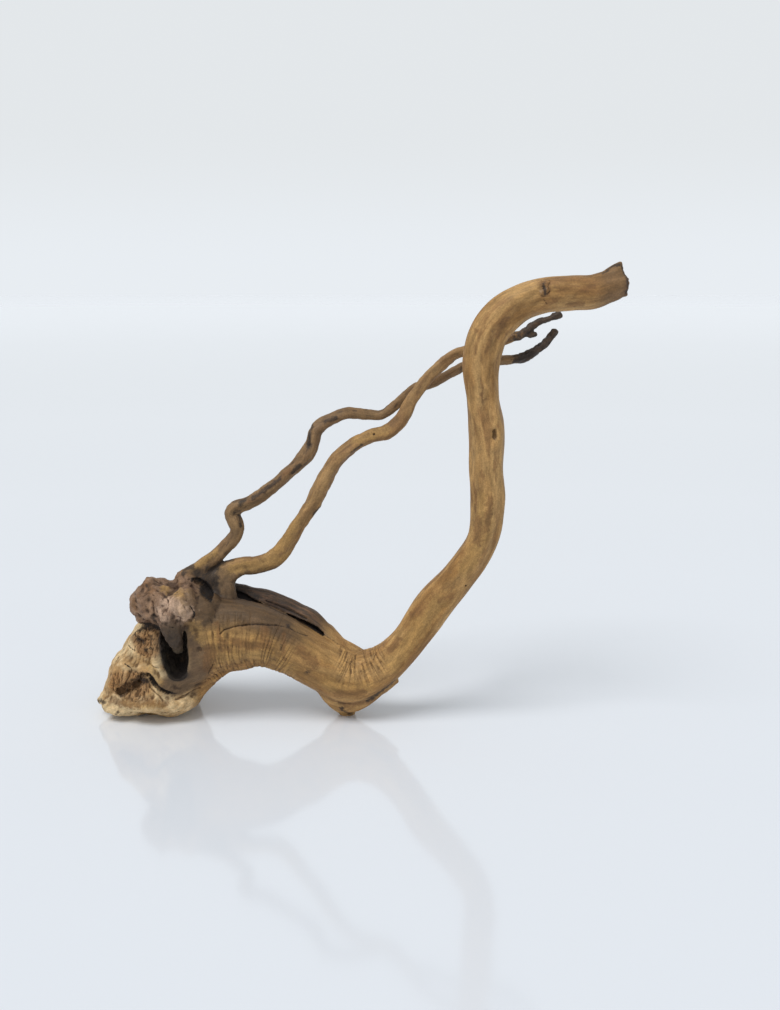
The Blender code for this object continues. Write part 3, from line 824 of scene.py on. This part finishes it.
def relief(points, zone, laid):
    # Height in millimetres to push each point along its normal: the sum of the
    # layers, each times its zone's share, less the marks.
    form = reliefForm
    rootlet = zone["rootlet"]
    place = limbPlace(zone["limb"])
    height = layer("swells", place) * (1 - rootlet)
    height += layer("waves", place) * (1 - form["rootletCalm"] * rootlet) + layer("threads", place)
    height += rootlet * (layer("knobs", place) + layer("warts", place))
    height += zone["tip"] * (layer("tip", place) - form["tipBase"])
    wave, strength = folds(points, zone["limb"])
    crease = ease(np.abs(wave), form["creaseWidth"], 0.0)
    height -= form["foldDepth"] * strength * crease * (1 - zone["hollow"])
    # broken wood of the stump: worn blocks and fibres that run up its slope
    up, across = (points @ np.array(form[way]) for way in ("fibreUp", "fibreAcross"))
    fibre = np.column_stack([up, across, points[:, 1]])
    shreds = layer("shreds", fibre + layer("bent", points)[:, None]) - form["splinterBase"]
    worn = layer("blocks", fibre) + layer("chips", fibre)
    height += zone["face"] * worn * (1 - form["backCalm"] * zone["back"])
    height += zone["face"] * zone["splinters"] * form["splinterHeight"] * shreds
    # the knot: folded lumps
    height += zone["knot"] * (layer("lumps", points) - np.abs(layer("clefts", points)))
    for name in ("tongue", "hollow", "raggedHole", "end"):
        height += zone[name] * layer(name, points)
    height += zone["ridge"] * layer("ridge", place) + zone["back"] * layer("back", fibre)
    for radius, depth, path in laid["dents"]:
        height -= depth * np.exp(-((distanceToPath(points, path) / radius) ** 2))
    wander = layer("wander", points)
    for width, depth, path in laid["cracks"]:
        height -= depth * np.exp(-((distanceToPath(points, path) + wander) / width) ** 2)
    for radius, depth, centre in laid["holes"]:
        height -= depth * ease(np.linalg.norm(points - centre, axis=1), radius * 1.3, radius * 0.6)
    return height


def thinned(mesh, triangles):
    # Edges collapse until this many triangles are left. Each face counts as two.
    obj = placed("thinned", mesh)
    decimate = obj.modifiers.new("thin", "DECIMATE")
    decimate.ratio = min(1.0, triangles / (len(mesh.polygons) * 2))
    return worked(obj)


def dropCrumbs(mesh):
    # Each vertex takes the lowest number along its edges until every joined part
    # shares one number, and all parts but the largest are deleted.
    one, two = edgeEnds(mesh)
    label = np.arange(len(mesh.vertices))
    while True:
        low = np.minimum(label[one], label[two])
        lower = label.copy()
        np.minimum.at(lower, one, low)
        np.minimum.at(lower, two, low)
        lower = lower[lower]
        if (lower == label).all():
            break
        label = lower
    crumbs = np.flatnonzero(label != np.bincount(label).argmax())
    working = bmesh.new()
    working.from_mesh(mesh)
    working.verts.ensure_lookup_table()
    bmesh.ops.delete(working, geom=[working.verts[k] for k in crumbs], context="VERTS")
    working.to_mesh(mesh)
    working.free()
    print("loose points dropped:", len(crumbs))


def hollowness(mesh, rounds):
    # How far the mean of the skin round a point stands above the point.
    mean = neighbourMean(mesh)
    points = smooth = pointsOf(mesh)
    for _ in range(rounds):
        smooth = mean(smooth)
    return ((smooth - points) * normalsOf(mesh)).sum(1)


def storeNumbers(mesh, name, values):
    # Keeps one number or one vector for each vertex, for the material to read.
    kind, field = ("FLOAT", "value") if values.ndim == 1 else ("FLOAT_VECTOR", "vector")
    attribute = mesh.attributes.new(name, kind, "POINT")
    attribute.data.foreach_set(field, values.astype(np.float32).ravel())


def storeMarks(mesh, laid):
    # Keeps the zones, the folds, the hollowness and the nearness of every mark.
    points = pointsOf(mesh)
    zone = zones(points)
    limb = zone.pop("limb")
    grain = limbPlace(limb)
    grain[:, 0] += build["grainApart"] * limb["limb"]  # so that no two limbs share their grain
    storeNumbers(mesh, "grain", grain)
    for name, values in zone.items():
        storeNumbers(mesh, name, values)
    wave, strength = folds(points, limb)
    storeNumbers(mesh, "foldWave", wave)
    storeNumbers(mesh, "fold", strength)
    # hollowness at two widths, which the material uses to paint shade in hollows and to lighten crests
    storeNumbers(mesh, "fineHollow", hollowness(mesh, build["fineRounds"]))
    storeNumbers(mesh, "wideHollow", hollowness(mesh, build["wideRounds"]))
    crack = [distanceToPath(points, path) / width for width, depth, path in laid["cracks"]]
    hole = [np.linalg.norm(points - centre, axis=1) / radius for radius, depth, centre in laid["holes"]]
    for name, near in (("crack", crack), ("hole", hole)):
        storeNumbers(mesh, name, np.minimum(np.min(near, axis=0), build["farthestMark"]))
    for name, entries in laid["patches"].items():
        near = [np.exp(-((distanceToPath(points, path) / radius) ** 2)) for radius, path in entries]
        storeNumbers(mesh, name, np.max(near, axis=0))
    print("marks and zones stored")


def makeWood():
    # Hews the wood, pushes its skin out by the relief, thins it and marks it.
    mesh = hewnWood()
    laid = laidMarks(mesh)
    points = pointsOf(mesh)
    points = points + normalsOf(mesh) * relief(points, zones(points), laid)[:, None]
    points[:, 2] = np.maximum(points[:, 2], 0.0)  # nothing reaches under the floor
    putPoints(mesh, points)
    print("relief worked into the skin")
    mesh = thinned(mesh, build["triangles"])
    dropCrumbs(mesh)
    print("skin thinned:", len(mesh.polygons), "faces")
    storeMarks(mesh, laid)
    putPoints(mesh, pointsOf(mesh) + toFrame)
    mesh.shade_smooth()
    mesh.name = "dryRoot"
    return placed("dryRoot", mesh)


# Materials
def linear(red, green, blue):
    # A colour given as 0 to 255, as the renderer's linear value.
    channels = (red, green, blue)
    return tuple(((c / 255 + 0.055) / 1.055) ** 2.4 if c > 10 else c / 3294 for c in channels) + (1.0,)


class Weave:
    # A node tree with short ways to add nodes. Each gives the output of its node,
    # and takes other outputs or plain values.
    def __init__(self, tree):
        self.tree = tree

    def feed(self, value, socket):
        # Joins an output to the socket, or sets the socket to a value.
        if isinstance(value, bpy.types.NodeSocket):
            self.tree.links.new(value, socket)
        else:
            socket.default_value = value

    def node(self, kind, inputs=None, **settings):
        # Adds a node with these settings and these values or outputs fed in.
        made = self.tree.nodes.new(kind)
        for name, value in settings.items():
            setattr(made, name, value)
        for name, value in (inputs or {}).items():
            self.feed(value, made.inputs[name])
        return made

    def mark(self, name, output="Fac"):
        # A number stored on the mesh, or with "Vector" a place.
        return self.node("ShaderNodeAttribute", attribute_name=name).outputs[output]

    def scaled(self, vector, scale):
        # The place times a scale along each axis.
        return self.node("ShaderNodeMapping", {"Vector": vector, "Scale": scale}).outputs["Vector"]

    def noise(self, vector, scale, detail, rough, warp):
        # Layered noise over the scaled place, 0 to 1.
        inputs = {"Vector": self.scaled(vector, scale), "Scale": 1.0}
        inputs |= {"Detail": detail, "Roughness": rough, "Distortion": warp}
        return self.node("ShaderNodeTexNoise", inputs).outputs["Fac"]

    def spread(self, value, low, high, to=(0.0, 1.0)):
        # Smooth step from low to high, carried to the two numbers of to.
        made = self.node(
            "ShaderNodeMapRange",
            {"Value": value, "From Min": low, "From Max": high, "To Min": to[0], "To Max": to[1]},
            interpolation_type="SMOOTHSTEP",
        )
        return made.outputs["Result"]

    def calc(self, kind, a, b=0.0):
        # One step of arithmetic.
        return self.node("ShaderNodeMath", {0: a, 1: b}, operation=kind).outputs[0]

    def times(self, a, b):
        # The product.
        return self.calc("MULTIPLY", a, b)

    def plus(self, a, b):
        # The sum.
        return self.calc("ADD", a, b)

    def larger(self, a, b):
        # The greater of the two.
        return self.calc("MAXIMUM", a, b)

    def blend(self, share, under, over, how="MIX"):
        # Under and over by share: mixed, or under times over laid on under.
        inputs = {0: share, 6: under, 7: over}
        return self.node("ShaderNodeMix", data_type="RGBA", blend_type=how, inputs=inputs).outputs[2]


wood = {
    "tan": linear(180, 142, 90),
    "deepTan": linear(142, 104, 58),
    "streak": linear(122, 91, 56),
    "rust": linear(132, 94, 56),
    "stain": linear(114, 80, 48),
    "golden": linear(168, 132, 78),
    "topBrown": linear(74, 59, 46),
    "greyBrown": linear(90, 73, 57),
    "rootletBrown": linear(122, 98, 72),
    "bark": linear(56, 46, 40),
    # dark bark and stains, and painted shade in the crown hollow and between the rootlets
    "barkAndShadeDark": linear(42, 35, 31),
    "barkBrown": linear(100, 74, 56),
    "pale": linear(226, 200, 156),
    "faceBrown": linear(180, 144, 98),
    "fibre": linear(160, 112, 68),
    "knotPink": linear(141, 113, 92),
    "knotPale": linear(200, 170, 146),
    "knotDark": linear(98, 74, 58),
    # painted shade: near black, laid inside the hollows, in cracks and holes and down the tongue
    "pit": linear(30, 26, 25),
    "tip": linear(56, 50, 48),
}
# What the colour under a coat is multiplied by
tints = {
    "bleach": (1.3, 1.27, 1.2, 1.0),
    # painted highlight on the raised wood between the fold creases
    "swell": (1.45, 1.4, 1.3, 1.0),
    # painted shade: darkens the hollows and creases of the skin
    "cavityShade": linear(104, 84, 70),
    # lighter on the convex crests of the skin
    "crestLighten": (1.4, 1.36, 1.3, 1.0),
}
# Noises: what they follow, scale, detail, roughness, warp
patterns = {
    "mottle": ("grain", (0.016, 0.06, 0.06), 4.0, 0.6, 0.3),
    "streaks": ("grain", (0.035, 0.42, 0.42), 4.0, 0.6, 0.2),
    "hairs": ("grain", (0.16, 2.2, 2.2), 3.0, 0.6, 0.0),
    "blotch": ("grain", (0.03, 0.1, 0.1), 5.0, 0.65, 0.5),
    "flakes": ("grain", (0.06, 0.2, 0.2), 4.0, 0.6, 0.5),
    "cast": ("grain", (0.12, 0.3, 0.3), 5.0, 0.7, 0.0),
    "tone": ("grain", (0.07, 0.26, 0.26), 5.0, 0.65, 0.3),
    "specks": ("grain", (0.7, 1.1, 1.1), 2.0, 0.6, 0.0),
    "ripple": ("grain", (0.3, 0.06, 0.06), 3.0, 0.6, 0.4),
    "grit": ("spot", (0.9, 0.9, 0.9), 4.0, 0.7, 0.0),
    "cloud": ("spot", (0.05, 0.05, 0.05), 5.0, 0.62, 0.4),
    "edge": ("spot", (0.3, 0.3, 0.3), 4.0, 0.65, 0.0),
    "upward": ("spot", (0.3, 0.3, 0.025), 4.0, 0.6, 0.3),
    "swirl": ("spot", (0.09, 0.09, 0.12), 5.0, 0.62, 1.2),
}
# Coats in the order they are laid: share, strength, colour or tint
coats = [
    ("streaks", 0.4, "streak"),
    ("blotch", 0.6, "rust"),
    ("shade", 0.55, "golden"),
    ("trunkTop", 0.9, "topBrown"),
    ("skin", 0.85, "greyBrown"),
    ("endShade", 0.6, "greyBrown"),
    ("rootlet", 0.42, "rootletBrown"),
    ("left", 0.45, "greyBrown"),
    ("flakes", 0.6, "bark"),
    ("ridge", 0.95, "strand"),
    ("face", 0.92, "broken"),
    ("knot", 0.88, "knot"),
    ("tongueShade", 0.75, "pit"),
    ("goldPatch", 0.68, "golden"),
    ("brownPatch", 0.65, "stain"),
    ("palePatch", 0.62, "knotPale"),
    ("end", 1.0, "barkBrown"),
    ("tip", 0.95, "tipBark"),
    # dark bark and stains, and painted shade in the crown hollow and between the rootlets
    ("darkPatch", 0.88, "barkAndShadeDark"),
    ("hairs", 0.18, "streak"),
    ("cast", 0.3, "streak"),
    ("bleached", 0.5, "bleach"),
]
lastCoats = [  # the same, over the tone
    ("specks", 0.3, "streak"),
    # painted shade in the fold creases
    ("crease", 0.4, "streak"),
    # painted highlight on the raised wood between the fold creases
    ("swollen", 0.4, "swell"),
    # painted shade in the hollows of the skin, at a fine and a wide width
    ("low", 0.7, "cavityShade"),
    # lighter on the convex crests of the skin
    ("crest", 0.3, "crestLighten"),
    ("pitRim", 0.6, "topBrown"),
    ("tongueShade", 0.15, "pit"),
    # painted shade inside the hollows, a little lighter in bits of the ragged hole
    ("hollow", 0.92, "pit"),
    # painted shade in the cracks and holes
    ("line", 0.9, "pit"),
]
# Heights for the bump: pattern, strength
bumps = {"hairs": 0.3, "streaks": 0.5, "ripple": 0.3, "line": -1.4, "crease": -0.8}
surface = {
    "roughness": (0.68, 0.56),
    "dull": 0.85,
    "shine": 0.3,
    "bumpStrength": 0.7,
    "bumpDepth": 0.0006,  # metres
    "patchEdge": (0.2, 0.9),
    "grainTone": (0.78, 1.2),
    "gritTone": (0.82, 1.18),
    "smoothGrit": 0.2,
    "brokenGrit": 0.8,
}


def woodMaterial():
    # Tan wood with coats over it, each laid by its share times its strength.
    material = bpy.data.materials.new("dryWood")
    material.use_nodes = True
    w = Weave(material.node_tree)
    shader = w.tree.nodes["Principled BSDF"]
    places = {
        "grain": w.mark("grain", "Vector"),
        "spot": w.scaled(w.node("ShaderNodeTexCoord").outputs["Object"], (1 / mm,) * 3),
    }
    n = {name: w.noise(places[follows], *form) for name, (follows, *form) in patterns.items()}
    edge = w.spread(n["edge"], 0.25, 0.75, (-0.35, 0.35))
    face, fold, fine = w.mark("face"), w.mark("fold"), w.mark("fineHollow")
    level = w.calc("ABSOLUTE", w.mark("foldWave"))
    lit = w.times(w.mark("raggedHole"), w.spread(n["grit"], 0.35, 0.65, (-0.05, -0.6)))
    crack = w.spread(w.plus(w.mark("crack"), w.times(edge, 0.9)), 1.2, 0.5)
    hole = w.spread(w.plus(w.mark("hole"), w.times(edge, 0.4)), 1.25, 0.85)
    browned = w.plus(w.mark("trunkTop"), w.times(w.plus(n["cloud"], -0.5), 0.8))

    # a share that isn't named here is a mark of that name
    shares = {
        "streaks": w.spread(n["streaks"], 0.5, 0.75),
        "blotch": w.spread(n["blotch"], 0.5, 0.62),
        "trunkTop": w.spread(browned, 0.0, 1.0),
        "skin": w.larger(w.mark("rimSkin"), w.mark("tongue")),
        "flakes": w.times(w.spread(n["flakes"], 0.56, 0.64), w.mark("left")),
        "end": w.times(w.mark("end"), w.spread(n["grit"], 0.3, 0.6)),
        "hairs": w.spread(n["hairs"], 0.45, 0.75),
        "cast": w.spread(n["cast"], 0.5, 0.72),
        "bleached": w.spread(n["cast"], 0.48, 0.3),
        "specks": w.spread(n["specks"], 0.6, 0.72),
        # painted shade in the fold creases, also used in the bump
        "crease": w.times(w.spread(level, reliefForm["creaseWidth"], 0.0), fold),
        # painted highlight between the fold creases
        "swollen": w.times(w.spread(level, 0.25, 0.7), fold),
        # painted shade where the skin lies low, from its hollowness at two widths
        "low": w.larger(w.spread(fine, 0.03, 0.3), w.spread(w.mark("wideHollow"), 0.35, 1.8)),
        "crest": w.spread(fine, -0.03, -0.2),
        # painted shade inside the hollows
        "hollow": w.times(w.mark("hollow"), w.plus(1.0, lit)),
        # painted shade in the cracks and holes
        "line": w.larger(crack, hole),
    }
    for name in ("tip", *patches):  # with a ragged edge
        shares[name] = w.spread(w.plus(w.mark(name), edge), *surface["patchEdge"])

    def mixed(pattern, low, high, under, over):
        # Two colours by a noise between low and high.
        return w.blend(w.spread(n[pattern], low, high), wood[under], wood[over])

    broken = mixed("cloud", 0.36, 0.6, "faceBrown", "pale")
    broken = w.blend(w.times(w.spread(n["grit"], 0.5, 0.7), 0.35), broken, wood["streak"])
    fibres = mixed("grit", 0.35, 0.6, "streak", "fibre")
    broken = w.blend(w.times(w.mark("splinters"), 0.75), broken, fibres)
    weathered = mixed("upward", 0.36, 0.6, "greyBrown", "faceBrown")
    mixes = {
        "strand": mixed("streaks", 0.45, 0.66, "bark", "barkBrown"),
        "broken": w.blend(w.times(w.mark("back"), 0.75), broken, weathered),
        "knot": mixed("swirl", 0.34, 0.62, "knotDark", "knotPink"),
        "tipBark": mixed("grit", 0.4, 0.65, "bark", "tip"),
    }
    paints = wood | tints | mixes

    def coated(colour, layers):
        # The colour with each coat laid in turn.
        for name, strength, over in layers:
            share = w.times(shares[name] if name in shares else w.mark(name), strength)
            colour = w.blend(share, colour, paints[over], "MULTIPLY" if over in tints else "MIX")
        return colour

    colour = coated(mixed("mottle", 0.36, 0.64, "deepTan", "tan"), coats)
    grainTone = w.spread(n["tone"], 0.32, 0.68, surface["grainTone"])
    tone = w.times(grainTone, w.spread(n["grit"], 0.3, 0.7, surface["gritTone"]))
    colour = coated(w.blend(1.0, colour, tone, "MULTIPLY"), lastCoats)
    w.feed(colour, shader.inputs["Base Color"])

    dull = w.times(w.larger(face, shares["hollow"]), surface["dull"])
    roughness = w.larger(w.spread(n["mottle"], 0.3, 0.7, surface["roughness"]), dull)
    w.feed(roughness, shader.inputs["Roughness"])
    w.feed(surface["shine"], shader.inputs["Specular IOR Level"])

    coarse = w.times(w.larger(face, w.mark("knot")), surface["brokenGrit"])
    height = w.times(n["grit"], w.plus(coarse, surface["smoothGrit"]))
    raised = n | {"line": shares["line"], "crease": shares["crease"]}
    for name, strength in bumps.items():
        height = w.plus(height, w.times(raised[name], strength))
    inputs = {"Height": height, "Strength": surface["bumpStrength"], "Distance": surface["bumpDepth"]}
    w.feed(w.node("ShaderNodeBump", inputs).outputs["Normal"], shader.inputs["Normal"])
    return material


root = makeWood()
root.data.materials.clear()
root.data.materials.append(woodMaterial())
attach(root, "root")
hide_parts("root")

# Stage: pale glossy floor in a bright room, with a soft light from the upper left
stage = {
    "floor": linear(236, 240, 246),
    "floorRoughness": 0.1,
    "floorShine": 0.75,
    "halfWidth": 14.0,  # metres
    "squares": 28,
    "world": linear(241, 246, 251),
    "wallTop": linear(236, 240, 243),
    "wallRise": 0.12,  # where the wall takes its upper colour, as a share of straight up
    "worldStrength": 0.92,
    "fillBefore": 0.7,
    "fillBehind": 0.42,
    "fillReach": 0.9,  # how far towards the front or back the fill is full
    "keyStrength": 1.6,
    "keySpread": 30.0,
    "keyFrom": (-0.35, -0.4, 1.0),
}


def makeFloor():
    # A flat square of quads on an even grid.
    squares = stage["squares"]
    side = np.linspace(-stage["halfWidth"], stage["halfWidth"], squares + 1)
    x, y = np.meshgrid(side, side)
    points = np.column_stack([x.ravel(), y.ravel(), np.zeros(x.size)])
    i, j = np.meshgrid(np.arange(squares), np.arange(squares), indexing="ij")
    start = (i * (squares + 1) + j).ravel()
    faces = np.column_stack([start, start + 1, start + squares + 2, start + squares + 1])
    floor = meshObject("floor", points / mm, faces)
    material = bpy.data.materials.new("paleFloor")
    material.use_nodes = True
    shader = material.node_tree.nodes["Principled BSDF"]
    shader.inputs["Base Color"].default_value = stage["floor"]
    shader.inputs["Roughness"].default_value = stage["floorRoughness"]
    shader.inputs["Specular IOR Level"].default_value = stage["floorShine"]
    floor.data.materials.append(material)


def makeLight():
    # A pale wall all round, and a broad sun from the upper left.
    world = bpy.data.worlds.new("studio")
    bpy.context.scene.world = world
    world.use_nodes = True
    # the wall as seen and as mirrored in the floor is brighter than the light it gives,
    # and it gives more from the front than from behind
    w = Weave(world.node_tree)
    background = world.node_tree.nodes["Background"]
    rays = w.node("ShaderNodeLightPath").outputs
    seen = w.larger(rays["Is Camera Ray"], rays["Is Glossy Ray"])
    aim = w.node("ShaderNodeSeparateXYZ", {0: w.node("ShaderNodeTexCoord").outputs["Generated"]}).outputs
    wall = w.blend(w.spread(aim["Z"], 0.0, stage["wallRise"]), stage["world"], stage["wallTop"])
    w.feed(wall, background.inputs["Color"])
    reach = stage["fillReach"]
    fill = w.spread(aim["Y"], reach, -reach, (stage["fillBehind"], stage["fillBefore"]))
    unseen = w.calc("SUBTRACT", 1.0, seen)
    strength = w.plus(w.times(seen, stage["worldStrength"]), w.times(unseen, fill))
    w.feed(strength, background.inputs["Strength"])
    light = bpy.data.lights.new("key", "SUN")
    light.energy = stage["keyStrength"]
    light.angle = math.radians(stage["keySpread"])
    key = placed("key", light)
    key.rotation_mode = "QUATERNION"
    key.rotation_quaternion = Vector(stage["keyFrom"]).to_track_quat("Z", "Y")


def makeCamera():
    # Focal length is the focal pixels over the frame's longer side, times the sensor.
    lens = bpy.data.cameras.new("view")
    lens.sensor_width = camera["sensor"]
    lens.lens = camera["focal"] / camera["frameHeight"] * camera["sensor"]
    lens.clip_start = camera["nearest"]
    view = placed("view", lens)
    view.location = (np.array([0, -camera["distance"], camera["height"]]) + toFrame) * mm
    view.rotation_euler = (math.radians(90 - camera["pitch"]), 0, 0)
    bpy.context.scene.camera = view


makeFloor()
makeLight()
makeCamera()
bpy.context.scene.view_settings.view_transform = "Standard"
print("stage, light and camera set")
